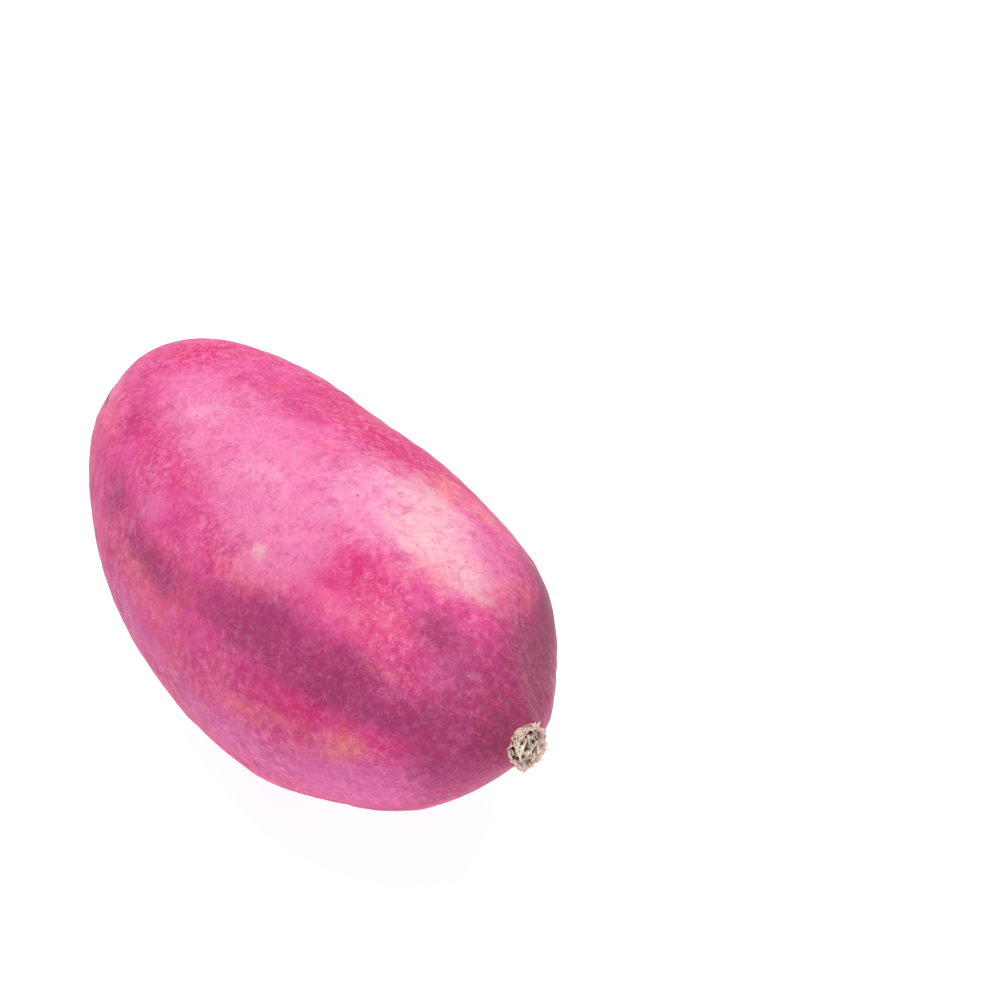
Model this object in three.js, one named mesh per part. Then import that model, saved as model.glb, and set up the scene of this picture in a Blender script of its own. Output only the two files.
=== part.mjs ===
import * as THREE from 'three';

// A short, stout sweet potato lying on its belly, in millimetres with +Z up.
// The long axis runs along X, with the stem end at +X and the tail end at -X.
// The origin lies on the surface it rests on, below the middle of the length and width.

// Root body
const halfLength = 76;
const halfWidth = 40;
const halfHeight = 37.2;

// How the girth changes along the body, as shares of an ellipse. The stem end is drawn in to a
// blunt cone, while the tail end stays full and round.
const stemwardSwell = 0.07;
const middleSwell = 0.05;
const stemDraw = 0.3;
const endDraw = 0.19;

// Line through the middle of the body: a slight sideways bow, with both ends lifted off the
// ground and turned a little to one side.
const sideBow = -1.5;
const stemSide = -1.0;
const stemLift = 14.2;
const tailSide = 2.5;
const tailLift = 10.5;

// Broad swells and hollows of the grown skin. Each has its place along the body (-1 at the tail,
// 1 at the stem), its place around it (degrees from +Y toward +Z), its height, and how far it
// spreads around the body in degrees.
const swellReachAlong = 0.2;
const swells = [
  { along: 0.85, around: 35, height: -7.5, spread: 33 },
  { along: 0.6, around: 35, height: 2.4, spread: 45 },
  { along: -0.5, around: 35, height: 0.8, spread: 45 },
  { along: -0.85, around: 35, height: 0.6, spread: 45 },
  { along: 0.85, around: 215, height: 4.6, spread: 45 },
  { along: 0.6, around: 215, height: -1.6, spread: 45 },
  { along: -0.5, around: 215, height: -0.8, spread: 45 },
  { along: -0.85, around: 215, height: -3.4, spread: 45 },
];

// Stub of the stem: a short neck, a torn rim and a sunken end, all a little narrower than high
const neckStation = 0.972;
const stubLeanDegrees = 9;
const stubOval = 0.88;
const neckRadius = 5.5;
const neckRise = 1.6;
const rimRadius = 5.5;
const rimRise = 4.2;
const rimLip = 0.5;
const sunkRadius = 3.5;
const sunkDepth = 1.6;

// The belly is pressed flat by this much where it rests
const restCut = 0.8;

// Mesh fineness
const bodyRings = 54;
const segments = 64;

// Share of the full girth at a station along the body, from -1 at the tail to 1 at the stem.
function girth(station) {
  const ellipse = Math.sqrt(Math.max(0, 1 - station * station));
  const swell = stemwardSwell * station + middleSwell * station ** 2;
  const draw = stemDraw * station ** 3 + endDraw * station ** 4;
  return ellipse * (1 + swell - draw);
}

// Centre of the cross-section at a station along the body.
function middleLine(station) {
  const stemShare = Math.max(0, station) ** 3;
  const tailShare = Math.max(0, -station) ** 3;
  return new THREE.Vector3(
    halfLength * station,
    sideBow * (1 - station ** 2) + stemSide * stemShare + tailSide * tailShare,
    stemLift * stemShare + tailLift * tailShare,
  );
}

// Sum of the swells and hollows at a station and an angle in degrees, fading out at both tips.
function swellAt(station, degrees) {
  let height = 0;
  for (const swell of swells) {
    const along = (station - swell.along) / swellReachAlong;
    const turn = ((degrees - swell.around + 540) % 360) - 180;
    const around = turn / swell.spread;
    height += swell.height * Math.exp(-along * along - around * around);
  }
  return height * Math.sqrt(Math.max(0, 1 - station * station));
}

// One closed ring of points around the body at a station.
function bodyRing(station) {
  const centre = middleLine(station);
  const share = girth(station);
  const ring = [];
  for (let i = 0; i < segments; i += 1) {
    const degrees = (360 * i) / segments;
    const angle = THREE.MathUtils.degToRad(degrees);
    const swell = swellAt(station, degrees);
    ring.push(new THREE.Vector3(
      centre.x,
      centre.y + (halfWidth * share + swell) * Math.cos(angle),
      centre.z + (halfHeight * share + swell) * Math.sin(angle),
    ));
  }
  return ring;
}

// One closed ring of the stub, at a distance along its own leaning axis.
function stubRing(root, lean, rise, radius) {
  const ring = [];
  for (let i = 0; i < segments; i += 1) {
    const angle = (2 * Math.PI * i) / segments;
    const across = stubOval * radius * Math.cos(angle);
    const up = radius * Math.sin(angle);
    ring.push(new THREE.Vector3(
      root.x + rise * Math.cos(lean) - up * Math.sin(lean),
      root.y + across,
      root.z + rise * Math.sin(lean) + up * Math.cos(lean),
    ));
  }
  return ring;
}

// Closed surface through the rings in order, with a point closing each end.
function closedSurface(firstPoint, rings, lastPoint) {
  const points = [firstPoint, ...rings.flat(), lastPoint];
  const last = points.length - 1;
  const faces = [];
  for (let i = 0; i < segments; i += 1) {
    const next = (i + 1) % segments;
    faces.push(0, 1 + next, 1 + i);
    for (let k = 0; k < rings.length - 1; k += 1) {
      const near = 1 + k * segments;
      const far = near + segments;
      faces.push(near + i, near + next, far + i);
      faces.push(near + next, far + next, far + i);
    }
    const end = 1 + (rings.length - 1) * segments;
    faces.push(end + i, end + next, last);
  }
  const geometry = new THREE.BufferGeometry();
  geometry.setFromPoints(points);
  geometry.setIndex(faces);
  return geometry;
}

// The body from its tail tip to its neck, evenly spaced by angle so that the rings close up
// toward the tail, then the stub and its sunken end.
function growPotato() {
  const neckAngle = Math.acos(-neckStation);
  const rings = [];
  for (let k = 1; k <= bodyRings; k += 1) {
    rings.push(bodyRing(-Math.cos((neckAngle * k) / bodyRings)));
  }
  const root = middleLine(neckStation);
  const lean = THREE.MathUtils.degToRad(stubLeanDegrees);
  const sunkRise = rimRise - sunkDepth;
  rings.push(stubRing(root, lean, neckRise, neckRadius));
  rings.push(stubRing(root, lean, rimRise - 2 * rimLip, rimRadius));
  rings.push(stubRing(root, lean, rimRise, rimRadius - rimLip));
  rings.push(stubRing(root, lean, rimRise - rimLip, rimRadius - 2.4 * rimLip));
  rings.push(stubRing(root, lean, sunkRise, sunkRadius));
  const stubEnd = new THREE.Vector3(
    root.x + sunkRise * Math.cos(lean),
    root.y,
    root.z + sunkRise * Math.sin(lean),
  );
  return closedSurface(middleLine(-1), rings, stubEnd);
}

// Sets the body down on the ground, over the origin, and presses its belly flat there.
function restOnGround(geometry) {
  geometry.computeBoundingBox();
  const box = geometry.boundingBox;
  const middle = box.getCenter(new THREE.Vector3());
  geometry.translate(-middle.x, -middle.y, -box.min.z - restCut);
  const points = geometry.attributes.position;
  for (let i = 0; i < points.count; i += 1) {
    points.setZ(i, Math.max(0, points.getZ(i)));
  }
  geometry.computeVertexNormals();
  return geometry;
}

const skin = new THREE.MeshStandardMaterial({
  color: 0xc4558b,
  roughness: 0.48,
  metalness: 0,
});

const potato = new THREE.Mesh(restOnGround(growPotato()), skin);
potato.name = 'sweet_potato';

const group = new THREE.Group();
group.name = 'sweet_potato_root';
group.add(potato);

export default group;
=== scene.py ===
"""A short, stout sweet potato with pink-magenta skin, lying on its belly.

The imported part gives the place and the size. The skin and the torn stem stub are worked out as
surfaces of two parameters and stand for the part's one node.
"""

import logging
import math
from dataclasses import dataclass, field
from enum import Enum

import bpy
import numpy as np
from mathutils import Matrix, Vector


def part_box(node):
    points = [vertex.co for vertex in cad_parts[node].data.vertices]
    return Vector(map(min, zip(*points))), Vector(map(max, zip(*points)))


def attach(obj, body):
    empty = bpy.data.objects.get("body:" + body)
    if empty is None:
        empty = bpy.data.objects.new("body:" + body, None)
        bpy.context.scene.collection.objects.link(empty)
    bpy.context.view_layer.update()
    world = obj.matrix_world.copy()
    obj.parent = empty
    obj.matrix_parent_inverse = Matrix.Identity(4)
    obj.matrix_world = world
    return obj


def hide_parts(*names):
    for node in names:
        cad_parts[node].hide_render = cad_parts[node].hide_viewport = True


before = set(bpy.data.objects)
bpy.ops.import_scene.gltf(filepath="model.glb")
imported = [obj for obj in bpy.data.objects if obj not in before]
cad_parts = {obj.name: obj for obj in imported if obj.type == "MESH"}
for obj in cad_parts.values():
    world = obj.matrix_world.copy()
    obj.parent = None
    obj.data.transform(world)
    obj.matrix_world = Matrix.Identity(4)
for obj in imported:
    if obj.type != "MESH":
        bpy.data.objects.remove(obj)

LOG = logging.getLogger("sweet_potato")
MM = 0.001
NODE = "sweet_potato"


class Tint(Enum):
    """The named tints that lie over the skin, each with its own field on the mesh. Several are partly
    painted light: bloom, pearl and cream a painted highlight, lilac a painted floor reflection, and mauve,
    blush and husk painted shade.
    """

    BLOOM = "bloom_and_highlight"
    BLUSH_AND_SHADE = "blush_and_shade"
    MAUVE_AND_SHADE = "mauve_and_shade"
    GOLD = "gold"
    CREAM_AND_HIGHLIGHT = "cream"
    PEARL_AND_HIGHLIGHT = "pearl_and_highlight"
    SALMON = "salmon"
    LILAC_REFLECTION = "lilac_reflection"
    HUSK_AND_SHADE = "husk_and_shade"
    SCAR = "scar"


def linear(red: int, green: int, blue: int) -> tuple[float, float, float, float]:
    """Turns a screen colour into scene-linear values.

    Each channel c in 0..1 becomes c / 12.92 below 0.04045, else ((c + 0.055) / 1.055) ** 2.4.

    Args:
        red, green, blue: the colour's channels, 0 to 255.

    Returns:
        The linear colour with full alpha.
    """
    share = np.array([red, green, blue]) / 255
    value = np.where(share <= 0.04045, share / 12.92, ((share + 0.055) / 1.055) ** 2.4)
    return (*value.tolist(), 1.0)


def wave_field(points: np.ndarray, seed: int, shortest: float, longest: float, count: int) -> np.ndarray:
    """Smooth seeded relief: a mean of plane waves sin(k . p + phase) in random directions.

    Args:
        points: places, with the coordinates on the last axis, in metres.
        seed: the random seed.
        shortest, longest: the range of wavelengths in metres.
        count: how many waves are summed.

    Returns:
        Values of about -1 to 1, shaped as the points without their last axis.
    """
    rng = np.random.default_rng(seed)
    direction = rng.normal(size=(count, 3))
    direction /= np.linalg.norm(direction, axis=1, keepdims=True)
    length = np.exp(rng.uniform(np.log(shortest), np.log(longest), count))
    phase = rng.uniform(0, 2 * np.pi, count)
    angle = points @ (direction * (2 * np.pi / length)[:, None]).T + phase
    return np.sin(angle).sum(-1) / math.sqrt(count / 2) * 0.6


def turn_between(degrees: np.ndarray, centre: float) -> np.ndarray:
    """The signed angle from centre to degrees, kept within a half turn.

    Args:
        degrees: the angles.
        centre: the angle they are measured from.

    Returns:
        The differences, from -180 to 180.
    """
    return (degrees - centre + 180) % 360 - 180


@dataclass(frozen=True)
class Swell:
    """A broad swell or hollow of the grown body, in metres and degrees."""

    along: float
    around: float
    height: float
    spread: float = 45.0


@dataclass(frozen=True)
class Patch:
    """A patch of one tint: its place along (-1 tail, 1 stem) and around the body, and its reach.

    Places and reaches along are shares of the half length, and those around are in degrees.
    """

    tint: Tint
    along: float
    around: float
    reach_along: float
    reach_around: float
    strength: float = 1.0


@dataclass(frozen=True)
class Crease:
    """A ridge or groove from one place on the skin to another, with its height and half width."""

    start: tuple[float, float]
    end: tuple[float, float]
    height: float
    width: float


@dataclass
class BodyForm:
    """The grown shape of the root, with the same driving sizes as the part, in metres."""

    half_length: float = 76 * MM
    half_width: float = 40 * MM
    half_height: float = 37.2 * MM
    stemward_swell: float = 0.07
    middle_swell: float = 0.05
    stem_draw: float = 0.3
    end_draw: float = 0.19
    side_bow: float = -1.5 * MM
    stem_side: float = -1.0 * MM
    stem_lift: float = 14.2 * MM
    tail_side: float = 2.5 * MM
    tail_lift: float = 10.5 * MM
    swell_reach_along: float = 0.2
    neck_station: float = 0.972
    stub_lean: float = math.radians(9)
    stub_oval: float = 0.88
    rest_cut: float = 0.8 * MM
    swells: tuple[Swell, ...] = (
        Swell(0.85, 35, -7.5 * MM, 33),
        Swell(0.6, 35, 2.4 * MM),
        Swell(-0.5, 35, 0.8 * MM),
        Swell(-0.85, 35, 0.6 * MM),
        Swell(0.85, 215, 4.6 * MM),
        Swell(0.6, 215, -1.6 * MM),
        Swell(-0.5, 215, -0.8 * MM),
        Swell(-0.85, 215, -3.4 * MM),
    )

    def girth(self, station: np.ndarray) -> np.ndarray:
        """Share of the full girth: an ellipse times 1 + a u + b u^2 - c u^3 - d u^4.

        Args:
            station: places along the body, -1 at the tail to 1 at the stem.

        Returns:
            The share at each place.
        """
        ellipse = np.sqrt(np.maximum(0, 1 - station**2))
        swell = self.stemward_swell * station + self.middle_swell * station**2
        draw = self.stem_draw * station**3 + self.end_draw * station**4
        return ellipse * (1 + swell - draw)

    def middle_line(self, station: np.ndarray) -> np.ndarray:
        """Centres of the cross-sections: a bow b (1 - u^2), and tips moved by u^3 times an offset.

        Args:
            station: places along the body.

        Returns:
            Points, with x, y, z on the last axis.
        """
        stem = np.clip(station, 0, 1) ** 3
        tail = np.clip(-station, 0, 1) ** 3
        bow = self.side_bow * (1 - station**2)
        y = bow + self.stem_side * stem + self.tail_side * tail
        z = self.stem_lift * stem + self.tail_lift * tail
        return np.stack([self.half_length * station, y, z], -1)

    def swell_at(self, station: np.ndarray, degrees: np.ndarray) -> np.ndarray:
        """Sum of the swells h exp(-(du / reach)^2 - (dphi / spread)^2), fading out at both tips.

        Args:
            station: places along the body.
            degrees: places around it.

        Returns:
            Heights above the plain section, in metres.
        """
        height = np.zeros(np.broadcast(station, degrees).shape)
        for swell in self.swells:
            along = (station - swell.along) / self.swell_reach_along
            around = turn_between(degrees, swell.around) / swell.spread
            height = height + swell.height * np.exp(-(along**2) - around**2)
        return height * np.sqrt(np.maximum(0, 1 - station**2))

    def points(self, station: np.ndarray, degrees: np.ndarray) -> np.ndarray:
        """Places on the smooth body: centre + (W g + s) cos phi along Y + (H g + s) sin phi along Z.

        Args:
            station: places along the body.
            degrees: places around it, from +Y toward +Z.

        Returns:
            Points, with x, y, z on the last axis.
        """
        station, degrees = np.broadcast_arrays(station, degrees)
        angle = np.radians(degrees)
        share, swell = self.girth(station), self.swell_at(station, degrees)
        place = self.middle_line(station)
        place[..., 1] += (self.half_width * share + swell) * np.cos(angle)
        place[..., 2] += (self.half_height * share + swell) * np.sin(angle)
        return place

    def stub_place(self, rise: np.ndarray, radius: np.ndarray, angle: np.ndarray) -> np.ndarray:
        """Places on the stub: root + rise along its leaning axis + radius cos, sin across it.

        Args:
            rise, radius: in metres.
            angle: in radians, from +Y toward +Z.

        Returns:
            Points, with x, y, z on the last axis.
        """
        across, up = self.stub_oval * radius * np.cos(angle), radius * np.sin(angle)
        root = self.middle_line(np.array(self.neck_station))
        x = root[0] + rise * math.cos(self.stub_lean) - up * math.sin(self.stub_lean)
        z = root[2] + rise * math.sin(self.stub_lean) + up * math.cos(self.stub_lean)
        return np.stack(np.broadcast_arrays(x, root[1] + across, z), -1)

    def shift_to(self, low: Vector, high: Vector) -> np.ndarray:
        """The move that sets the form down in the part's box, its belly cut at the ground.

        Args:
            low, high: corners of the part's box.

        Returns:
            The move as x, y, z.
        """
        station = -np.cos(np.linspace(0, np.pi, 400))[:, None]
        smooth = self.points(station, np.arange(0, 360, 1.0)[None])
        least, most = smooth.min((0, 1)), smooth.max((0, 1))
        y_shift = (low.y + high.y - least[1] - most[1]) / 2
        return np.array([low.x - least[0], y_shift, low.z - least[2] - self.rest_cut])


def closed_grid(rows: np.ndarray, first: np.ndarray, last: np.ndarray) -> tuple[np.ndarray, np.ndarray]:
    """Joins a grid of closed rings and two end points into one closed surface.

    Args:
        rows: rings of points, shaped (rings, points, 3), first ring next to the first point.
        first, last: the points that close the two ends.

    Returns:
        The vertices and the faces, with triangles written as quads whose last corner is -1.
    """
    rings, count = rows.shape[:2]
    vertices = np.concatenate([first[None], rows.reshape(-1, 3), last[None]])
    index = 1 + np.arange(rings * count).reshape(rings, count)
    following = np.roll(index, -1, axis=1)
    quads = np.stack([index[:-1], following[:-1], following[1:], index[1:]], -1).reshape(-1, 4)
    start, end = np.zeros(count, int), np.full(count, len(vertices) - 1)
    blank = np.full(count, -1)
    fan_first = np.stack([start, following[0], index[0], blank], -1)
    fan_last = np.stack([index[-1], following[-1], end, blank], -1)
    return vertices, np.concatenate([fan_first, quads, fan_last])


def mesh_object(name: str, vertices: np.ndarray, faces: np.ndarray) -> bpy.types.Object:
    """Makes a smooth-shaded mesh object at the origin.

    Args:
        name: the piece's name.
        vertices: points in metres, shaped (n, 3).
        faces: corner numbers, shaped (m, 4), with -1 as the last corner of a triangle.

    Returns:
        The new object, linked to the scene.
    """
    three = faces[:, 3] < 0
    totals = np.where(three, 3, 4)
    mesh = bpy.data.meshes.new(name)
    mesh.vertices.add(len(vertices))
    mesh.vertices.foreach_set("co", vertices.astype(np.float32).ravel())
    corners = faces[faces >= 0]
    mesh.loops.add(len(corners))
    mesh.loops.foreach_set("vertex_index", corners.astype(np.int32))
    mesh.polygons.add(len(faces))
    mesh.polygons.foreach_set("loop_start", (np.cumsum(totals) - totals).astype(np.int32))
    mesh.polygons.foreach_set("use_smooth", np.ones(len(faces), bool))
    mesh.update(calc_edges=True)
    mesh.validate()
    piece = bpy.data.objects.new(name, mesh)
    bpy.context.scene.collection.objects.link(piece)
    return piece


def add_field(piece: bpy.types.Object, name: str, values: np.ndarray) -> None:
    """Stores one number a vertex on a piece as a named field.

    Args:
        piece: the mesh object.
        name: the field's name.
        values: one value a vertex.
    """
    stored = piece.data.attributes.new(name, "FLOAT", "POINT")
    stored.data.foreach_set("value", values.astype(np.float32))


class Graph:
    """Writes a shader node tree in short calls; every call gives back an output socket."""

    def __init__(self, tree: bpy.types.NodeTree) -> None:
        """Takes the tree to write into."""
        self.tree = tree

    def node(self, kind: str, inputs: dict | None = None, **settings) -> bpy.types.Node:
        """Adds a node.

        Args:
            kind: the node's type name without the ShaderNode prefix.
            inputs: values or sockets by input name or number.
            settings: the node's own properties.

        Returns:
            The node.
        """
        made = self.tree.nodes.new("ShaderNode" + kind)
        for key, value in settings.items():
            setattr(made, key, value)
        for key, value in (inputs or {}).items():
            self.feed(made.inputs[key], value)
        return made

    def feed(self, socket: bpy.types.NodeSocket, value: object) -> None:
        """Links a socket into an input, or sets the input's own value.

        Args:
            socket: the input.
            value: an output socket, or a plain value.
        """
        if isinstance(value, bpy.types.NodeSocket):
            self.tree.links.new(value, socket)
        else:
            socket.default_value = value

    def math(self, operation: str, *values: object, clamp: bool = False) -> bpy.types.NodeSocket:
        """Puts one Math operation over its values.

        Args:
            operation: the operation's name.
            values: sockets or numbers.
            clamp: whether the result is kept within 0 to 1.

        Returns:
            The result.
        """
        inputs = dict(enumerate(values))
        return self.node("Math", inputs, operation=operation, use_clamp=clamp).outputs[0]

    def noise(
        self, where: object, scale: float, detail: float = 3.0, rough: float = 0.55, warp: float = 0.0
    ) -> bpy.types.NodeSocket:
        """Puts down a fractal noise.

        Args:
            where: the coordinates.
            scale: its wavelength is about 1 / scale metres.
            detail, rough: how many finer octaves there are, and how strong each is.
            warp: how far the coordinates are distorted.

        Returns:
            The noise, about 0.5 on average.
        """
        inputs = {"Vector": where, "Scale": scale, "Detail": detail, "Roughness": rough, "Distortion": warp}
        return self.node("TexNoise", inputs).outputs["Fac"]

    def step(self, value: object, low: object, high: object) -> bpy.types.NodeSocket:
        """Smoothly steps a value from 0 at low to 1 at high, and gives back the share."""
        inputs = {"Value": value, "From Min": low, "From Max": high}
        return self.node("MapRange", inputs, interpolation_type="SMOOTHSTEP").outputs[0]

    def blend(self, share: object, under: object, over: object) -> bpy.types.NodeSocket:
        """Lays the colour over on the colour under, by a share from 0 to 1."""
        made = self.node("Mix", {0: share}, data_type="RGBA", blend_type="MIX")
        self.feed(made.inputs[6], under)
        self.feed(made.inputs[7], over)
        return made.outputs[2]

    def field(self, name: str) -> bpy.types.NodeSocket:
        """Reads the mesh's field of this name."""
        return self.node("Attribute", attribute_name=name, attribute_type="GEOMETRY").outputs["Fac"]

    def use(self, group: bpy.types.NodeTree, **inputs: object) -> bpy.types.Node:
        """Places a node group, with values or sockets by input name, and gives back its node."""
        made = self.tree.nodes.new("ShaderNodeGroup")
        made.node_tree = group
        for key, value in inputs.items():
            self.feed(made.inputs[key], value)
        return made


GroupParts = tuple[bpy.types.NodeTree, Graph, dict[str, bpy.types.NodeSocket], bpy.types.Node]


class EffectGroups:
    """The effects shared by the skin and the stub, each a node group built once."""

    def __init__(self) -> None:
        """Builds the groups."""
        self.strokes = self.build_strokes()
        self.pits = self.build_pits()

    @staticmethod
    def start(name: str, inputs: dict[str, tuple[str, float]], outputs: list[str]) -> GroupParts:
        """Opens a node group.

        Args:
            name: the group's name.
            inputs: socket type and default by name.
            outputs: names of the float outputs.

        Returns:
            The group, its graph, its input sockets by name and its output node.
        """
        tree = bpy.data.node_groups.new(name, "ShaderNodeTree")
        for key, (kind, default) in inputs.items():
            socket = tree.interface.new_socket(key, in_out="INPUT", socket_type=kind)
            if kind == "NodeSocketFloat":
                socket.default_value = default
        for key in outputs:
            tree.interface.new_socket(key, in_out="OUTPUT", socket_type="NodeSocketFloat")
        entry = tree.nodes.new("NodeGroupInput")
        leave = tree.nodes.new("NodeGroupOutput")
        return tree, Graph(tree), {s.name: s for s in entry.outputs}, leave

    def build_strokes(self) -> bpy.types.NodeTree:
        """Short, felt-like strokes: a thin band |noise - 0.5| < width, broken up by a second noise.

        Returns:
            The group, whose Mask is 1 on the strokes.
        """
        inputs = {
            "Vector": ("NodeSocketVector", 0.0),
            "Scale": ("NodeSocketFloat", 420.0),
            "Width": ("NodeSocketFloat", 0.03),
            "Cover": ("NodeSocketFloat", 0.5),
        }
        tree, graph, ins, leave = self.start("felt strokes", inputs, ["Mask"])
        line = graph.noise(ins["Vector"], ins["Scale"], 1.5, 0.6, 0.9)
        gap = graph.math("ABSOLUTE", graph.math("SUBTRACT", line, 0.5))
        thin = graph.math("SUBTRACT", 1.0, graph.step(gap, 0.0, ins["Width"]))
        breaks = graph.node("TexNoise", {"Vector": ins["Vector"], "Detail": 1.0, "Distortion": 0.4})
        graph.feed(breaks.inputs["Scale"], graph.math("MULTIPLY", ins["Scale"], 0.8))
        low = graph.math("SUBTRACT", 0.62, graph.math("MULTIPLY", ins["Cover"], 0.3))
        kept = graph.step(breaks.outputs["Fac"], low, graph.math("ADD", low, 0.1))
        graph.feed(leave.inputs["Mask"], graph.math("MULTIPLY", thin, kept))
        return tree

    def build_pits(self) -> bpy.types.NodeTree:
        """Tiny scattered pits: the inside of a radius round the share of cell points that is kept.

        Returns:
            The group, whose Mask is 1 in the pits.
        """
        inputs = {
            "Vector": ("NodeSocketVector", 0.0),
            "Scale": ("NodeSocketFloat", 330.0),
            "Size": ("NodeSocketFloat", 0.16),
            "Cover": ("NodeSocketFloat", 0.4),
        }
        tree, graph, ins, leave = self.start("scattered pits", inputs, ["Mask"])
        grain = {"Vector": ins["Vector"], "Scale": ins["Scale"], "Randomness": 1.0}
        cells = graph.node("TexVoronoi", grain)
        floor = graph.math("MULTIPLY", ins["Size"], 0.4)
        near = graph.math("SUBTRACT", 1.0, graph.step(cells.outputs["Distance"], floor, ins["Size"]))
        pick = graph.node("SeparateColor", {"Color": cells.outputs["Color"]}).outputs[0]
        kept = graph.math("LESS_THAN", pick, ins["Cover"])
        graph.feed(leave.inputs["Mask"], graph.math("MULTIPLY", near, kept))
        return tree


@dataclass(frozen=True)
class Layer:
    """How one tint is laid on the skin: how strong, and whether it is broken into flecks."""

    tint: Tint
    opacity: float
    scattered: bool = False


# The layers in the order laid. Bloom, pearl and cream are in part a painted highlight, lilac a painted
# floor reflection, and mauve, blush and husk in part painted shade.
SKIN_LAYERS = (
    Layer(Tint.LILAC_REFLECTION, 0.7),
    Layer(Tint.MAUVE_AND_SHADE, 0.86),
    Layer(Tint.BLUSH_AND_SHADE, 0.88),
    Layer(Tint.BLOOM, 0.75),
    Layer(Tint.SALMON, 0.8, True),
    Layer(Tint.PEARL_AND_HIGHLIGHT, 0.8),
    Layer(Tint.CREAM_AND_HIGHLIGHT, 0.72),
    Layer(Tint.GOLD, 0.85, True),
    Layer(Tint.HUSK_AND_SHADE, 0.85),
    Layer(Tint.SCAR, 0.9),
)


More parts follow.
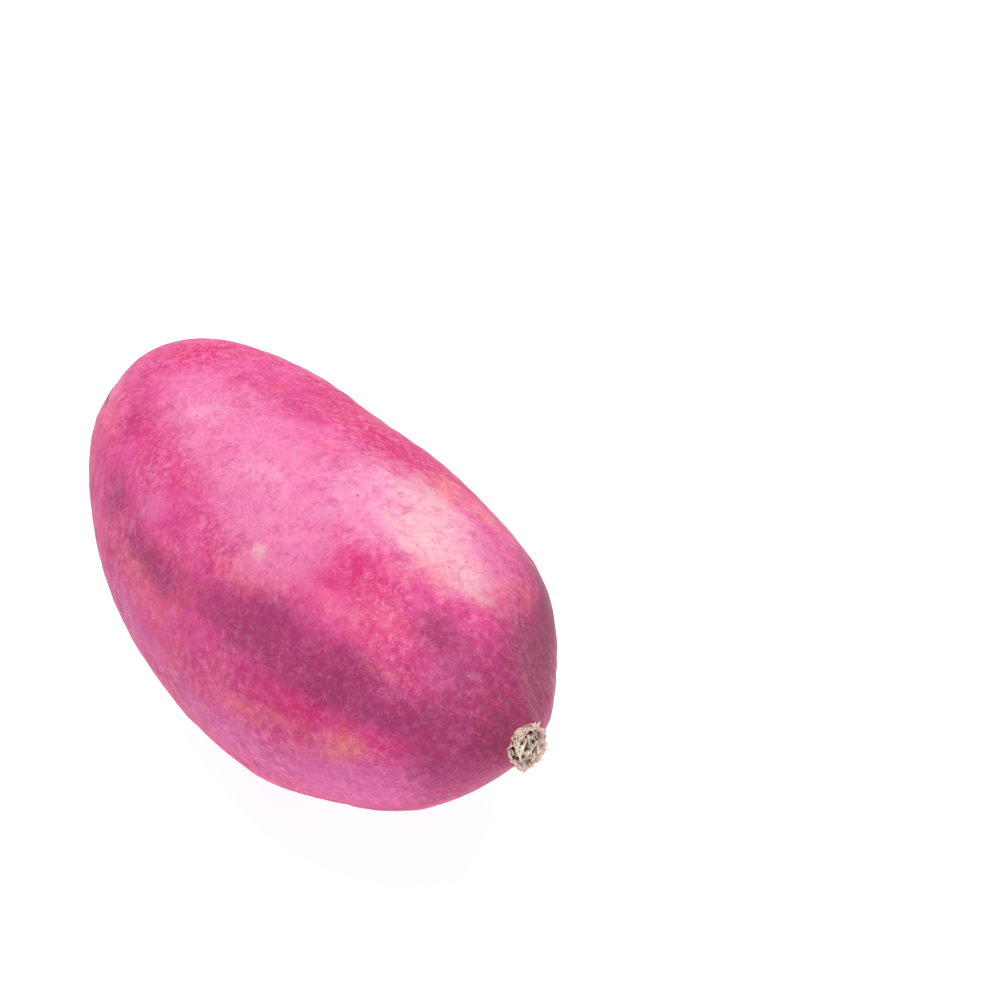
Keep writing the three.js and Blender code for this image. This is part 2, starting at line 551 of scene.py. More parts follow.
@dataclass(frozen=True)
class SkinFinish:
    """Pink-magenta skin: mottled rose ground, ragged tints, felt strokes, specks and pits; some tints are
    partly a painted highlight, painted shade and a painted floor reflection.
    """

    rose: tuple[int, int, int] = (218, 80, 144)
    deep: tuple[int, int, int] = (192, 56, 116)
    coral: tuple[int, int, int] = (222, 88, 126)
    light: tuple[int, int, int] = (232, 108, 160)
    # bloom: pale pink, partly the skin's own pale bloom and partly a painted highlight along the top, where
    # the overhead lamp reflects.
    bloom_and_highlight: tuple[int, int, int] = (228, 134, 178)
    # blush: the skin's own hot pink, and along the +Y side also painted shade, darker where that side gets
    # less light.
    blush_and_shade: tuple[int, int, int] = (208, 44, 112)
    # mauve: the skin's own mauve, and in part painted shade: the dark band below the highlight, the
    # underside, the +Y side and round the stem.
    mauve_and_shade: tuple[int, int, int] = (150, 56, 100)
    gold: tuple[int, int, int] = (240, 144, 130)
    # cream: the skin's own small cream spots, and on the top a painted highlight where the lamp's
    # reflection is brightest.
    cream: tuple[int, int, int] = (242, 196, 192)
    # pearl: mostly a painted highlight, pale and pearly, along the top where the overhead lamp reflects,
    # with a few pale spots of the skin's own.
    pearl_and_highlight: tuple[int, int, int] = (238, 170, 200)
    dapple: tuple[int, int, int] = (210, 104, 160)
    salmon: tuple[int, int, int] = (238, 122, 140)
    # lilac: a painted reflection of the pale floor on the lower side, and of the lamp in a pale streak on
    # the top.
    lilac_reflection: tuple[int, int, int] = (208, 108, 172)
    # husk: the stem end's own brownish mauve, and in part painted shade round the stub and along the +Y
    # side.
    husk_and_shade: tuple[int, int, int] = (136, 56, 84)
    scar: tuple[int, int, int] = (92, 52, 56)
    fleck: tuple[int, int, int] = (246, 140, 182)
    ember: tuple[int, int, int] = (232, 92, 116)
    speck: tuple[int, int, int] = (150, 40, 84)
    roughness: float = 0.45
    gloss: float = 0.06
    bump_depth: float = 0.25 * MM

    def build(self, groups: EffectGroups) -> bpy.types.Material:
        """Makes the material.

        Args:
            groups: the shared effects.

        Returns:
            The skin material.
        """
        material = bpy.data.materials.new("skin")
        material.use_nodes = True
        graph = Graph(material.node_tree)
        shader = material.node_tree.nodes["Principled BSDF"]
        where = graph.node("TexCoord").outputs["Object"]
        colour = self.mottle(graph, where)
        edge = graph.noise(where, 140, 8, 0.74, 0.7)
        scatter = graph.step(graph.noise(where, 300, 7, 0.74, 0.6), 0.44, 0.6)
        for layer in SKIN_LAYERS:
            share = self.ragged(graph, graph.field(layer.tint.value), edge)
            if layer.scattered:
                share = graph.math("MULTIPLY", share, graph.math("MULTIPLY_ADD", scatter, 0.7, 0.3))
            tone = linear(*getattr(self, layer.tint.value))
            colour = graph.blend(graph.math("MULTIPLY", share, layer.opacity), colour, tone)
        colour, height = self.fine_marks(graph, where, colour, groups)
        shade = graph.noise(where, 900, 2, 0.6)
        graph.feed(shader.inputs["Base Color"], colour)
        rough = graph.math("ADD", self.roughness - 0.06, graph.math("MULTIPLY", shade, 0.16))
        graph.feed(shader.inputs["Roughness"], rough)
        bump = graph.node("Bump", {"Strength": 0.55, "Distance": self.bump_depth, "Height": height})
        graph.feed(shader.inputs["Normal"], bump.outputs[0])
        shader.inputs["Specular IOR Level"].default_value = self.gloss
        return material

    def mottle(self, graph: Graph, where: bpy.types.NodeSocket) -> bpy.types.NodeSocket:
        """Clouds of rose, deep, coral and light, from finger-wide down to a few millimetres.

        Args:
            graph: the material's graph.
            where: object coordinates.

        Returns:
            The ground colour.
        """
        wide = graph.noise(where, 50, 5, 0.62, 0.6)
        warm = graph.noise(where, 75, 5, 0.66, 0.9)
        close = graph.noise(where, 230, 6, 0.7, 0.5)
        colour = graph.blend(graph.step(wide, 0.38, 0.64), linear(*self.rose), linear(*self.deep))
        colour = graph.blend(graph.step(warm, 0.5, 0.68), colour, linear(*self.coral))
        return graph.blend(graph.step(close, 0.46, 0.74), colour, linear(*self.light))

    @staticmethod
    def ragged(
        graph: Graph, soft: bpy.types.NodeSocket, edge: bpy.types.NodeSocket
    ) -> bpy.types.NodeSocket:
        """Turns a soft field into a patch with a torn, feathered edge.

        Args:
            graph: the material's graph.
            soft: the field, 0 to 1.
            edge: the noise that tears its edge.

        Returns:
            The patch's share, 0 to 1.
        """
        spread = graph.math("MULTIPLY", graph.math("SUBTRACT", edge, 0.5), 1.5)
        return graph.step(graph.math("ADD", soft, spread), 0.1, 0.95)

    def fine_marks(
        self,
        graph: Graph,
        where: bpy.types.NodeSocket,
        colour: bpy.types.NodeSocket,
        groups: EffectGroups,
    ) -> tuple[bpy.types.NodeSocket, bpy.types.NodeSocket]:
        """Lays clumps, dapples, strokes, specks and pits over the colour.

        Args:
            graph: the material's graph.
            where: object coordinates.
            colour: the colour so far.
            groups: the shared effects.

        Returns:
            The new colour, and the height that the bump follows.
        """
        strokes = graph.use(groups.strokes, Vector=where, Scale=640.0, Width=0.12, Cover=0.5).outputs[0]
        pits = graph.use(groups.pits, Vector=where, Scale=300.0, Size=0.14, Cover=0.3).outputs[0]
        calm = graph.math("MULTIPLY_ADD", graph.field(Tint.MAUVE_AND_SHADE.value), -0.7, 1.0, clamp=True)
        thick = graph.step(graph.noise(where, 55, 4), 0.3, 0.62)
        clumps = graph.step(graph.noise(where, 640, 6, 0.72, 0.35), 0.45, 0.68)
        clumps = graph.math("MULTIPLY", clumps, graph.math("MULTIPLY", thick, calm))
        dark = graph.step(graph.noise(where, 420, 6, 0.74, 0.4), 0.49, 0.68)
        ember = graph.math("MULTIPLY", graph.step(graph.noise(where, 560, 6, 0.72, 0.3), 0.52, 0.7), thick)
        grit = graph.step(graph.noise(where, 1500, 3, 0.7), 0.42, 0.68)
        colour = graph.blend(graph.math("MULTIPLY", dark, 0.5), colour, linear(*self.deep))
        # Pinker dapples inside the bloom and pearl patches, which are in part a painted highlight.
        pale = graph.math("MAXIMUM", graph.field(Tint.BLOOM.value), graph.field(Tint.PEARL_AND_HIGHLIGHT.value))
        dapple = graph.step(graph.noise(where, 430, 6, 0.72, 0.6), 0.5, 0.64)
        dapple = graph.math("MULTIPLY", dapple, graph.math("MULTIPLY", pale, 0.42))
        colour = graph.blend(dapple, colour, linear(*self.dapple))
        colour = graph.blend(graph.math("MULTIPLY", ember, 0.36), colour, linear(*self.ember))
        colour = graph.blend(graph.math("MULTIPLY", clumps, 0.7), colour, linear(*self.fleck))
        light = graph.math("MULTIPLY", strokes, graph.math("MULTIPLY", calm, 0.1))
        colour = graph.blend(light, colour, linear(*self.fleck))
        colour = graph.blend(graph.math("MULTIPLY", grit, 0.16), colour, linear(*self.speck))
        colour = graph.blend(graph.math("MULTIPLY", pits, 0.4), colour, linear(*self.speck))
        grain = graph.noise(where, 700, 4, 0.6)
        height = graph.math("ADD", graph.math("MULTIPLY", grain, 0.5), graph.math("MULTIPLY", clumps, 0.3))
        return colour, graph.math("SUBTRACT", height, graph.math("MULTIPLY", pits, 0.8))


@dataclass(frozen=True)
class StubFinish:
    """Torn, dried stem: cream fibre ends over dark brown gaps, with a pink-tinged lip; the gaps and the
    sunken end are darkened partly as painted shade in the recesses.
    """

    cream: tuple[int, int, int] = (255, 246, 236)
    tan: tuple[int, int, int] = (236, 206, 180)
    # dark: the torn tissue's brown, which also stands for painted shade in the sunken end and the gaps
    # between fibres.
    dark: tuple[int, int, int] = (104, 56, 46)
    pink: tuple[int, int, int] = (222, 158, 156)

    def build(self, groups: EffectGroups) -> bpy.types.Material:
        """Makes the material.

        Args:
            groups: the shared effects.

        Returns:
            The stub material.
        """
        material = bpy.data.materials.new("torn_stem")
        material.use_nodes = True
        graph = Graph(material.node_tree)
        shader = material.node_tree.nodes["Principled BSDF"]
        where = graph.node("TexCoord").outputs["Object"]
        streak = graph.noise(where, 900, 4, 0.65, 0.5)
        colour = graph.blend(graph.step(streak, 0.4, 0.62), linear(*self.cream), linear(*self.tan))
        colour = graph.blend(graph.field("lip"), colour, linear(*self.pink))
        # The gaps and the depth darken the stub: partly its own brown, partly painted shade in the recesses
        # between fibres and in the sunken end.
        gaps = graph.use(groups.strokes, Vector=where, Scale=520.0, Width=0.07, Cover=0.5).outputs[0]
        depth = graph.math("MAXIMUM", graph.field("depth"), graph.math("MULTIPLY", gaps, 0.35), clamp=True)
        graph.feed(shader.inputs["Base Color"], graph.blend(depth, colour, linear(*self.dark)))
        shader.inputs["Roughness"].default_value = 0.85
        height = graph.math("SUBTRACT", streak, graph.math("MULTIPLY", gaps, 0.5))
        bump = graph.node("Bump", {"Strength": 0.7, "Distance": 0.3 * MM, "Height": height})
        graph.feed(shader.inputs["Normal"], bump.outputs[0])
        return material


@dataclass
class RootBody:
    """The skin of the whole root: the grown form with relief, and the fields of its tints."""

    form: BodyForm
    shift: np.ndarray
    rings: int = 292
    around: int = 318
    wave_height: float = 0.32 * MM
    ripple_height: float = 0.1 * MM
    rib_height: float = 0.03 * MM
    dimples: int = 110
    neck_start: float = 0.9
    neck_root: tuple[float, float] = (1.7, 5.75)
    creases: tuple[Crease, ...] = (
        Crease((0.62, 112), (0.9, 146), 0.55 * MM, 2.2 * MM),
        Crease((0.1, 122), (0.42, 112), 0.3 * MM, 1.6 * MM),
        Crease((-0.35, 84), (0.02, 104), 0.35 * MM, 2.4 * MM),
        Crease((-0.55, 58), (-0.4, 74), -0.5 * MM, 2.0 * MM),
    )
    patches: tuple[Patch, ...] = field(default_factory=lambda: SKIN_PATCHES)
    neck: tuple[tuple[float, float], ...] = (
        # rise and radius in millimetres, up the neck and then down inside it
        (2.3, 5.5),
        (2.8, 5.25),
        (3.2, 5.1),
        (3.5, 4.9),
        (2.2, 4.4),
        (0.4, 3.6),
    )

    def relief(self, station: np.ndarray, degrees: np.ndarray, points: np.ndarray) -> np.ndarray:
        """Height of the small relief: waves, ripples, dimples, creases, ribs at the neck.

        Args:
            station: places along the body.
            degrees: places around it.
            points: the same places in metres.

        Returns:
            Heights in metres.
        """
        height = self.wave_height * wave_field(points, 11, 18 * MM, 50 * MM, 30)
        height = height + self.ripple_height * wave_field(points, 12, 4 * MM, 12 * MM, 40)
        flat = points.reshape(-1, 3)
        pressed = np.zeros(len(flat))
        rng = np.random.default_rng(5)
        seats = self.form.points(rng.uniform(-0.93, 0.93, self.dimples), rng.uniform(0, 360, self.dimples))
        radii = rng.uniform(1.2, 3.4, self.dimples) * MM
        depths = rng.uniform(0.08, 0.34, self.dimples) * MM
        for seat, radius, depth in zip(seats, radii, depths):
            gap = (flat - seat) * np.array([1.6, 1.0, 1.0]) / radius
            pressed += depth * np.exp(-(gap**2).sum(1))
        height = height - pressed.reshape(height.shape)
        for crease in self.creases:
            height = height + self.crease_height(crease, points)
        ribs = np.cos(np.radians(degrees) * 17 + 3 * np.sin(np.radians(degrees) * 2))
        near_neck = np.clip((station - 0.86) / 0.1, 0, 1)
        return height + self.rib_height * ribs * near_neck

    def crease_height(self, crease: Crease, points: np.ndarray) -> np.ndarray:
        """Height h exp(-(d / w)^2) of one crease, with d the distance to its line.

        Args:
            crease: the crease.
            points: places on the body in metres.

        Returns:
            Heights in metres.
        """
        ends = np.array([crease.start, crease.end])
        steps = np.linspace(0, 1, 24)[:, None]
        line = ends[0] * (1 - steps) + ends[1] * steps
        spine = self.form.points(line[:, 0], line[:, 1])
        flat = points.reshape(-1, 3)
        near = np.full(len(flat), np.inf)
        for place in spine:
            near = np.minimum(near, ((flat - place) ** 2).sum(1))
        return (crease.height * np.exp(-near / crease.width**2)).reshape(points.shape[:-1])

    def drawn_to_neck(self, points: np.ndarray, station: np.ndarray, degrees: np.ndarray) -> np.ndarray:
        """Draws the end of the body out into the neck, by a share ((u - a) / (b - a))^2.

        Args:
            points: places on the body.
            station, degrees: their places along and around it.

        Returns:
            The moved places, unchanged before the draw starts.
        """
        rise, radius = np.array(self.neck_root) * MM
        root = self.form.stub_place(rise, radius, np.radians(degrees))
        end = self.form.neck_station
        share = np.clip((station - self.neck_start) / (end - self.neck_start), 0, 1)[..., None] ** 2
        return points * (1 - share) + root * share

    def tint_field(self, tint: Tint, station: np.ndarray, degrees: np.ndarray) -> np.ndarray:
        """The tint's patches, each s exp(-(u / a)^2 - (v / b)^2), screened together.

        Args:
            tint: which tint.
            station: places along the body.
            degrees: places around it.

        Returns:
            The field, 0 to 1.
        """
        total = np.zeros(np.broadcast(station, degrees).shape)
        for patch in self.patches:
            if patch.tint is not tint:
                continue
            along = station - patch.along
            around = turn_between(degrees, patch.around)
            shape = (along / patch.reach_along) ** 2 + (around / patch.reach_around) ** 2
            total = 1 - (1 - total) * (1 - np.clip(patch.strength * np.exp(-shape), 0, 1))
        return total

    def build(self, finish: SkinFinish, groups: EffectGroups) -> bpy.types.Object:
        """Makes the skin piece.

        Args:
            finish: the skin's finish.
            groups: the shared effects.

        Returns:
            The finished piece.
        """
        neck_angle = math.acos(-self.form.neck_station)
        angle = np.linspace(0, neck_angle, self.rings + 1)[1:, None]
        station = -np.cos(angle)
        degrees = np.arange(self.around)[None] * (360 / self.around)
        points = self.form.points(station, degrees)
        middle = self.form.middle_line(np.broadcast_to(station, points.shape[:2]))
        outward = points - middle
        outward /= np.linalg.norm(outward, axis=-1, keepdims=True)
        fade = np.clip((1 - np.abs(station)) / 0.02, 0, 1)
        points = points + outward * (self.relief(station, degrees, points) * fade)[..., None]
        points = self.drawn_to_neck(points, station, degrees)
        neck = np.array(self.neck) * MM
        collar = self.form.stub_place(neck[:, :1], neck[:, 1:], np.radians(degrees))
        tail = self.form.middle_line(np.array(-1.0))
        inside = self.form.stub_place(np.array(-1.0 * MM), np.array(0.0), np.array(0.0))
        vertices, faces = closed_grid(np.concatenate([points, collar]), tail, inside)
        vertices = vertices + self.shift
        vertices[:, 2] = np.maximum(vertices[:, 2], 0)
        piece = mesh_object("potato_skin", vertices, faces)
        station = np.concatenate([station, np.full((len(neck), 1), 1.0)])
        full = np.broadcast_arrays(station, degrees)
        for tint in Tint:
            values = self.tint_field(tint, *full).ravel()
            add_field(piece, tint.value, np.concatenate([values[:1], values, values[-1:]]))
        piece.data.materials.append(finish.build(groups))
        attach(piece, "root")
        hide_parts(NODE)
        return piece


def scattered_patches(count: int) -> tuple[Patch, ...]:
    """Seeded patches of the common tints over the belly and the far side.

    Args:
        count: how many patches.

    Returns:
        The patches.
    """
    rng = np.random.default_rng(21)
    tints = (Tint.BLOOM, Tint.BLUSH_AND_SHADE, Tint.MAUVE_AND_SHADE, Tint.SALMON, Tint.LILAC_REFLECTION, Tint.GOLD)
    small = (Tint.SALMON, Tint.GOLD)
    made = []
    for number in range(count):
        tint = tints[number % len(tints)]
        size = 0.4 if tint in small else 1.0
        along, around = rng.uniform(-0.85, 0.85), rng.uniform(215, 385)
        reach = rng.uniform(0.1, 0.24) * size, rng.uniform(9, 22) * size
        made.append(Patch(tint, along, around, *reach, rng.uniform(0.6, 0.95)))
    return tuple(made)


SKIN_PATCHES = (
    # Bloom patches along the top are in part a painted highlight where the overhead lamp reflects.
    Patch(Tint.BLOOM, -0.42, 100, 0.24, 20, 0.85),
    Patch(Tint.BLOOM, -0.05, 99, 0.28, 20, 1.0),
    Patch(Tint.BLOOM, 0.2, 114, 0.14, 14, 0.85),
    Patch(Tint.BLOOM, 0.3, 78, 0.24, 18, 1.0),
    Patch(Tint.BLOOM, 0.54, 62, 0.16, 18, 0.9),
    # Blush patches at 35 to 57 degrees, on the +Y side, are in part painted shade; the others are the
    # skin's own hot pink.
    Patch(Tint.BLUSH_AND_SHADE, -0.15, 52, 0.34, 15, 1.0),
    Patch(Tint.BLUSH_AND_SHADE, 0.1, 35, 0.3, 14, 0.7),
    Patch(Tint.BLUSH_AND_SHADE, 0.02, 57, 0.2, 11, 1.0),
    Patch(Tint.BLUSH_AND_SHADE, -0.72, 78, 0.12, 28, 0.9),
    Patch(Tint.BLUSH_AND_SHADE, 0.42, 106, 0.13, 12, 0.95),
    Patch(Tint.BLUSH_AND_SHADE, 0.6, 114, 0.1, 12, 0.7),
    Patch(Tint.BLUSH_AND_SHADE, 0.52, 160, 0.16, 9, 0.75),
    Patch(Tint.BLUSH_AND_SHADE, -0.28, 122, 0.24, 7, 0.7),
    Patch(Tint.BLUSH_AND_SHADE, -0.5, 122, 0.1, 8, 0.5),
    # Mauve patches at 139 to 151 degrees make the dark band below the highlight: partly the skin's own
    # mauve, partly painted shade.
    Patch(Tint.MAUVE_AND_SHADE, -0.14, 151, 0.22, 9, 0.8),
    Patch(Tint.MAUVE_AND_SHADE, 0.12, 145, 0.14, 9, 0.5),
    Patch(Tint.MAUVE_AND_SHADE, 0.34, 139, 0.18, 14, 0.95),
    Patch(Tint.MAUVE_AND_SHADE, 0.6, 143, 0.2, 14, 1.0),
    # Mauve patches from here to the belly darken the stem end and the +Y side near it: partly the skin's
    # own mauve, partly painted shade.
    Patch(Tint.MAUVE_AND_SHADE, 0.88, 140, 0.1, 40, 0.7),
    Patch(Tint.MAUVE_AND_SHADE, 0.62, 133, 0.08, 7, 0.9),
    Patch(Tint.MAUVE_AND_SHADE, 0.9, 205, 0.07, 40, 0.7),
    # Husk here and below darkens the stem end and the +Y shoulder: partly its own brownish colour, partly
    # painted shade round the stub and on that side.
    Patch(Tint.HUSK_AND_SHADE, 0.95, 150, 0.04, 50, 0.6),
    Patch(Tint.BLOOM, 0.17, 127, 0.06, 6, 0.7),
    Patch(Tint.MAUVE_AND_SHADE, 0.7, 100, 0.08, 12, 0.9),
    Patch(Tint.MAUVE_AND_SHADE, 0.78, 150, 0.1, 10, 0.7),
    Patch(Tint.MAUVE_AND_SHADE, 1.0, 100, 0.15, 400, 1.0),
    Patch(Tint.MAUVE_AND_SHADE, 0.84, 42, 0.22, 36, 1.0),
    Patch(Tint.MAUVE_AND_SHADE, 0.6, 22, 0.3, 16, 0.9),
    Patch(Tint.HUSK_AND_SHADE, 0.86, 40, 0.14, 24, 1.0),
    Patch(Tint.HUSK_AND_SHADE, 0.94, 92, 0.06, 30, 0.8),
    Patch(Tint.HUSK_AND_SHADE, 0.66, 24, 0.2, 14, 0.7),
    Patch(Tint.HUSK_AND_SHADE, 0.72, 10, 0.24, 14, 0.9),
    Patch(Tint.MAUVE_AND_SHADE, 0.88, 88, 0.1, 24, 0.8),
    Patch(Tint.MAUVE_AND_SHADE, -0.45, 147, 0.1, 9, 0.7),
    # Mauve along the lower side is painted shade, where the body turns under toward the floor.
    Patch(Tint.MAUVE_AND_SHADE, 0.5, 230, 0.45, 11, 0.9),
    Patch(Tint.MAUVE_AND_SHADE, -0.3, 224, 0.4, 9, 0.7),
    # Lilac along the lower side, 176 to 198 degrees, is a painted reflection of the pale floor; the two on
    # the top are a painted highlight streak.
    Patch(Tint.LILAC_REFLECTION, 0.72, 198, 0.3, 22, 1.0),
    Patch(Tint.LILAC_REFLECTION, 0.3, 186, 0.3, 12, 0.8),
    Patch(Tint.LILAC_REFLECTION, -0.2, 176, 0.3, 10, 0.6),
    Patch(Tint.LILAC_REFLECTION, 0.8, 112, 0.07, 16, 0.6),
    Patch(Tint.LILAC_REFLECTION, 0.14, 92, 0.14, 10, 0.5),
    # Pearl patches along the top are in part a painted highlight where the overhead lamp reflects.
    Patch(Tint.PEARL_AND_HIGHLIGHT, 0.28, 80, 0.26, 17, 0.75),
    Patch(Tint.PEARL_AND_HIGHLIGHT, 0.5, 72, 0.18, 14, 0.75),
    Patch(Tint.PEARL_AND_HIGHLIGHT, -0.42, 104, 0.1, 9, 0.5),
    Patch(Tint.PEARL_AND_HIGHLIGHT, -0.05, 104, 0.16, 12, 0.4),
    # Cream patches near 67 to 82 degrees are in part a painted highlight; the small spot at 122 degrees is
    # the skin's own.
    Patch(Tint.CREAM_AND_HIGHLIGHT, 0.3, 67, 0.14, 10, 0.75),
    Patch(Tint.CREAM_AND_HIGHLIGHT, 0.52, 76, 0.15, 12, 0.8),
    Patch(Tint.CREAM_AND_HIGHLIGHT, 0.4, 82, 0.14, 9, 0.5),
    Patch(Tint.CREAM_AND_HIGHLIGHT, 0.17, 122, 0.03, 3, 0.7),
    Patch(Tint.CREAM_AND_HIGHLIGHT, -0.36, 104, 0.06, 8, 0.4),
    Patch(Tint.GOLD, 0.68, 171, 0.07, 10, 1.0),
    Patch(Tint.GOLD, 0.2, 51, 0.08, 8, 1.0),
    Patch(Tint.SALMON, 0.28, 49, 0.14, 9, 0.9),
    Patch(Tint.GOLD, 0.36, 47, 0.06, 6, 0.95),
    Patch(Tint.GOLD, 0.55, 86, 0.06, 5, 0.6),
    Patch(Tint.GOLD, 0.3, 60, 0.06, 5, 0.45),
    Patch(Tint.GOLD, 0.64, 44, 0.05, 8, 0.6),
    Patch(Tint.SALMON, -0.74, 134, 0.14, 14, 0.7),
    Patch(Tint.SALMON, -0.22, 159, 0.16, 7, 0.85),
    Patch(Tint.SALMON, 0.12, 134, 0.1, 5, 0.55),
    Patch(Tint.SALMON, 0.5, 168, 0.12, 6, 0.5),
    Patch(Tint.SALMON, 0.33, 170, 0.14, 7, 0.8),
    Patch(Tint.SALMON, 0.2, 130, 0.1, 5, 0.8),
    Patch(Tint.SALMON, 0.5, 120, 0.14, 5, 0.8),
    Patch(Tint.SALMON, 0.58, 111, 0.09, 7, 0.9),
    Patch(Tint.SALMON, 0.63, 62, 0.1, 12, 0.8),
    Patch(Tint.SALMON, 0.7, 128, 0.1, 4, 0.7),
    Patch(Tint.SALMON, -0.1, 166, 0.1, 6, 0.7),
    Patch(Tint.HUSK_AND_SHADE, 1.0, 60, 0.045, 400, 1.0),
    Patch(Tint.HUSK_AND_SHADE, -1.0, 90, 0.004, 400, 1.0),
    Patch(Tint.SCAR, -0.83, 137, 0.035, 2.5, 1.0),
    Patch(Tint.BLOOM, -0.84, 131, 0.07, 12, 0.8),
    Patch(Tint.BLOOM, -0.28, 138, 0.08, 7, 0.6),
    Patch(Tint.BLOOM, 0.02, 114, 0.14, 10, 0.9),
    Patch(Tint.BLUSH_AND_SHADE, 0.74, 166, 0.1, 8, 0.8),
    Patch(Tint.BLOOM, 0.27, 118, 0.1, 8, 0.6),
    # Blush here, on the +Y side, is in part painted shade.
    Patch(Tint.BLUSH_AND_SHADE, -0.35, 44, 0.12, 12, 0.8),
) + scattered_patches(30)


@dataclass
class StemStub:
    """The torn stub of the stem: a short neck, a ragged rim, a sunken end and loose fibres."""

    form: BodyForm
    shift: np.ndarray
    around: int = 180
    crossing: int = 30
    tufts: int = 18
    strand_steps: int = 9
    strand_sides: int = 7
    profile: tuple[tuple[float, float, float], ...] = (
        # station on the profile, then rise and radius in millimetres
        (0.0, 0.6, 2.0),
        (0.08, 0.8, 4.4),
        (0.25, 2.2, 4.7),
        (0.42, 3.3, 5.0),
        (0.55, 4.1, 5.3),
        (0.6, 4.3, 5.0),
        (0.66, 3.9, 4.5),
        (0.76, 3.0, 3.9),
        (0.9, 2.7, 2.2),
        (1.0, 2.7, 0.5),
    )

    def shell(self) -> tuple[np.ndarray, np.ndarray, np.ndarray]:
        """The neck, torn rim and sunken end: a profile carried round the axis, its rim uneven.

        Returns:
            Vertices, faces, and the depth of each vertex below the rim, 0 to 1.
        """
        knots = np.array(self.profile)
        t = np.linspace(0, 1, 64)
        rise = np.interp(t, knots[:, 0], knots[:, 1])[:, None] * MM
        radius = np.interp(t, knots[:, 0], knots[:, 2])[:, None] * MM
        angle = np.arange(self.around)[None] * (2 * np.pi / self.around)
        ring = np.stack([np.cos(angle[0]), np.sin(angle[0]), 0 * angle[0]], -1)
        torn = wave_field(ring, 31, 0.25, 1.6, 40)
        notch = wave_field(ring, 32, 0.08, 0.4, 60)
        near_rim = np.exp(-(((t - 0.58) / 0.16) ** 2))[:, None]
        rise = rise + near_rim * (0.5 * torn + 0.35 * notch) * MM
        radius = radius * (1 + near_rim * 0.07 * np.roll(torn, 23))
        points = self.form.stub_place(rise, radius, angle)
        inner = np.clip((t - 0.62) / 0.2, 0, 1)[:, None]
        bumps = wave_field(points, 33, 0.9 * MM, 2.4 * MM, 60)
        points = points + inner[..., None] * (0.75 * MM * bumps)[..., None] * np.array([1, 0, 0.16])
        rim = np.clip(1 - np.abs(t - 0.5) / 0.12, 0, 1)[:, None]
        # depth darkens the sunken end, most in the hollows between its bumps, and the torn rim: painted
        # shade over the brown of the torn tissue.
        depth = np.clip(inner * (0.75 - 1.1 * bumps) + rim * (0.3 + 0.9 * notch), 0, 1)
        first = self.form.stub_place(np.array(0.4 * MM), np.array(0.0), np.array(0.0))
        last = points[-1].mean(0)
        vertices, faces = closed_grid(points, first, last)
        return vertices + self.shift, faces, np.concatenate([[0], depth.ravel(), [0.5]])

    def fibres(self) -> tuple[np.ndarray, np.ndarray, np.ndarray]:
        """Loose fibres: tapered tubes that leave the rim or the sunken end and curl over.

        Each centre line is start + s length direction + s^2 curl, and each tube's radius is
        r sqrt(1 - s) with a small thickness left at the tip.

        Returns:
            Vertices, faces, and the depth shade of each vertex.
        """
        rng = np.random.default_rng(8)
        count, steps, sides = self.crossing + self.tufts, self.strand_steps, self.strand_sides
        tuft = (np.arange(count) >= self.crossing)[:, None]
        turn_in = rng.uniform(0, 2 * np.pi, (count, 1))
        angle = np.where(tuft, rng.uniform(-1.9, 1.2, (count, 1)), turn_in)
        tuft_radius = rng.uniform(4.5, 5.1, (count, 1))
        crossing_radius = 4.6 * np.sqrt(rng.random((count, 1)))
        radius = np.where(tuft, tuft_radius, crossing_radius) * MM
        rise = np.where(tuft, rng.uniform(3.4, 4.2, (count, 1)), rng.uniform(2.7, 3.7, (count, 1))) * MM
        start = self.form.stub_place(rise, radius, angle)[:, 0] + self.shift
        out = self.form.stub_place(rise, radius + MM, angle)[:, 0] + self.shift - start
        axis = self.form.stub_place(rise + MM, radius, angle)[:, 0] + self.shift - start
        side = np.cross(out, axis) / MM
        swing = rng.normal(0, 1, (count, 1))
        inward = axis * 0.3 - out * rng.uniform(0.2, 1.2, (count, 1)) + side * 1.2 * swing
        outward = axis * rng.uniform(0.5, 1.0, (count, 1)) + out * rng.uniform(0.1, 0.8, (count, 1))
        outward = outward + side * 0.5 * swing
        heading = np.where(tuft, outward, inward)
        heading /= np.linalg.norm(heading, axis=1, keepdims=True)
        length = np.where(tuft, rng.uniform(0.9, 2.0, (count, 1)), rng.uniform(2.0, 4.4, (count, 1))) * MM
        curl = out * rng.normal(0.0, 0.5, (count, 1)) + side * rng.normal(0, 0.8, (count, 1))
        curl = (curl - axis * 0.4) * 0.9
        s = np.linspace(0, 1, steps)[None, :, None]
        spine = start[:, None] + s * length[:, None] * heading[:, None] + s**2 * curl[:, None]
        thick = np.where(tuft, 0.6, 1.0) * rng.uniform(0.28, 0.6, (count, 1)) * MM
        thick = thick * np.sqrt(np.maximum(0.08, 1 - s[..., 0]))
        tangent = np.gradient(spine, axis=1)
        tangent /= np.linalg.norm(tangent, axis=-1, keepdims=True)
        one = np.cross(tangent, np.array([0.3, 0.5, 0.8]))
        one /= np.linalg.norm(one, axis=-1, keepdims=True)
        two = np.cross(tangent, one)
        turn = np.arange(sides) * (2 * np.pi / sides)
        ring = one[:, :, None] * np.cos(turn)[:, None] + 0.6 * two[:, :, None] * np.sin(turn)[:, None]
        tubes = spine[:, :, None] + ring * thick[..., None, None]
        shade = np.where(rng.random(count) < 0.2, 0.45, 0.0)
        parts, faces, shades, total = [], [], [], 0
        for strand, line, tone in zip(tubes, spine, shade):
            some, corners = closed_grid(strand, line[0], line[-1])
            parts.append(some)
            faces.append(np.where(corners < 0, -1, corners + total))
            shades.append(np.full(len(some), tone))
            total += len(some)
        return np.concatenate(parts), np.concatenate(faces), np.concatenate(shades)

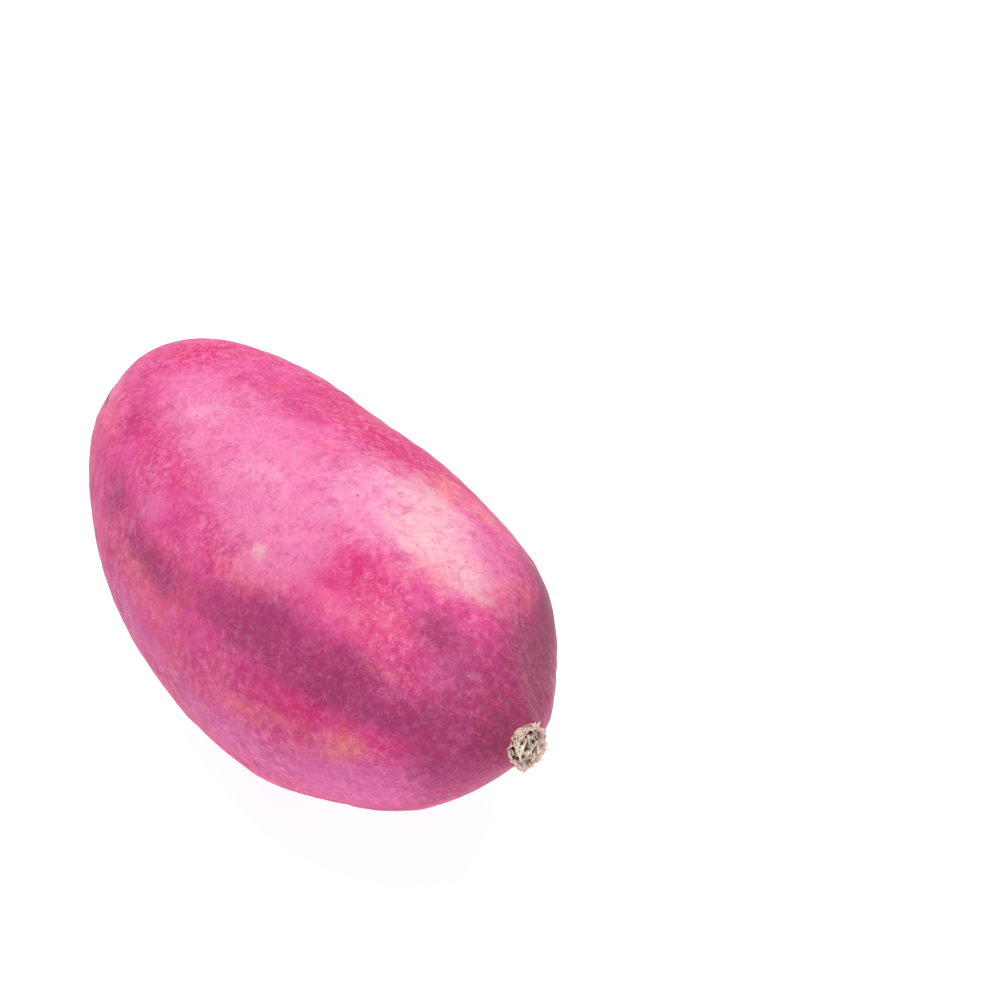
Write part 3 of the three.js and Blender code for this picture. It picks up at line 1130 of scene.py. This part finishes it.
    def build(self, finish: StubFinish, groups: EffectGroups) -> bpy.types.Object:
        """Makes the stub piece.

        Args:
            finish: the stub's finish.
            groups: the shared effects.

        Returns:
            The finished piece.
        """
        vertices, faces, depth = self.shell()
        loose, loose_faces, loose_depth = self.fibres()
        moved = np.where(loose_faces < 0, -1, loose_faces + len(vertices))
        lip = np.concatenate([np.linspace(2.0, -0.6, len(vertices)).clip(0, 0.8), np.zeros(len(loose))])
        piece = mesh_object("stem_stub", np.concatenate([vertices, loose]), np.concatenate([faces, moved]))
        add_field(piece, "depth", np.concatenate([depth, loose_depth]))
        add_field(piece, "lip", lip)
        piece.data.materials.append(finish.build(groups))
        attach(piece, "root")
        return piece


@dataclass
class Studio:
    """Pale floor, soft lights and the camera."""

    centre: Vector
    azimuth: float = math.radians(54)
    elevation: float = math.radians(40)
    distance: float = 0.617
    lens: float = 100.0
    aim_right: float = 39.4 * MM
    aim_up: float = 19.4 * MM
    floor_reach: float = 3.0
    floor_grey: float = 0.46
    floor_glow: float = 0.86
    surround: float = 0.32

    def floor(self) -> None:
        """Lays a wide pale floor under the root."""
        corners = self.floor_reach * np.array([[-1, -1, 0], [1, -1, 0], [1, 1, 0], [-1, 1, 0]])
        floor = mesh_object("floor", corners, np.array([[0, 1, 2, 3]]))
        material = bpy.data.materials.new("pale_floor")
        material.use_nodes = True
        shader = material.node_tree.nodes["Principled BSDF"]
        shader.inputs["Base Color"].default_value = (*(self.floor_grey,) * 3, 1)
        shader.inputs["Roughness"].default_value = 0.9
        shader.inputs["Specular IOR Level"].default_value = 0.1
        shader.inputs["Emission Color"].default_value = (1, 1, 1, 1)
        shader.inputs["Emission Strength"].default_value = self.floor_glow
        floor.data.materials.append(material)

    def lamp(
        self, name: str, place: tuple[float, float, float], size: tuple[float, float], power: float
    ) -> None:
        """Hangs a soft rectangular lamp that faces the root.

        Args:
            name: the lamp's name.
            place: its place relative to the root's centre, in metres.
            size: its width and height in metres.
            power: in watts.
        """
        data = bpy.data.lights.new(name, "AREA")
        data.shape = "RECTANGLE"
        data.size, data.size_y = size
        data.energy = power
        lamp = bpy.data.objects.new(name, data)
        lamp.location = self.centre + Vector(place)
        lamp.rotation_mode = "QUATERNION"
        lamp.rotation_quaternion = (-Vector(place)).to_track_quat("-Z", "Y")
        bpy.context.scene.collection.objects.link(lamp)

    def light(self) -> None:
        """Sets the even surround and hangs the lamps."""
        world = bpy.data.worlds.new("surround")
        world.use_nodes = True
        sky = world.node_tree.nodes["Background"]
        sky.inputs["Color"].default_value = (1, 1, 1, 1)
        sky.inputs["Strength"].default_value = self.surround
        bpy.context.scene.world = world
        self.lamp("overhead", (-0.06, 0.1, 0.95), (0.8, 0.6), 8.6)
        self.lamp("side", (-0.9, 0.0, 0.6), (0.6, 0.6), 2.2)
        self.lamp("stemward", (0.8, -0.4, 0.3), (0.4, 0.4), 1.2)
        view = bpy.context.scene.view_settings
        view.view_transform = "Standard"
        view.look = "None"

    def camera(self) -> None:
        """Points the camera at the root, which sits left of and below the middle of the frame."""
        sin_a, cos_a = math.sin(self.azimuth), math.cos(self.azimuth)
        sin_e, cos_e = math.sin(self.elevation), math.cos(self.elevation)
        back = Vector((sin_a * cos_e, -cos_a * cos_e, sin_e))
        right = Vector((cos_a, sin_a, 0))
        up = back.cross(right)
        data = bpy.data.cameras.new("camera")
        data.lens = self.lens
        data.sensor_width = 36
        camera = bpy.data.objects.new("camera", data)
        camera.location = self.centre + right * self.aim_right + up * self.aim_up + back * self.distance
        camera.rotation_mode = "QUATERNION"
        camera.rotation_quaternion = (-back).to_track_quat("-Z", "Y")
        bpy.context.scene.collection.objects.link(camera)
        bpy.context.scene.camera = camera


def main() -> None:
    """Builds the root, its stub and the studio."""
    logging.basicConfig(level=logging.INFO, format="%(name)s: %(message)s")
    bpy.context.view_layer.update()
    low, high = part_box(NODE)
    form = BodyForm()
    shift = form.shift_to(low, high)
    groups = EffectGroups()
    skin = RootBody(form, shift).build(SkinFinish(), groups)
    stub = StemStub(form, shift).build(StubFinish(), groups)
    for piece in (skin, stub):
        LOG.info("%s: %d faces", piece.name, len(piece.data.polygons))
    middle = form.middle_line(np.array(0.0)) * np.array([1, 0, 1]) + shift
    studio = Studio(Vector(middle))
    studio.floor()
    studio.light()
    studio.camera()


if __name__ == "__main__":
    main()
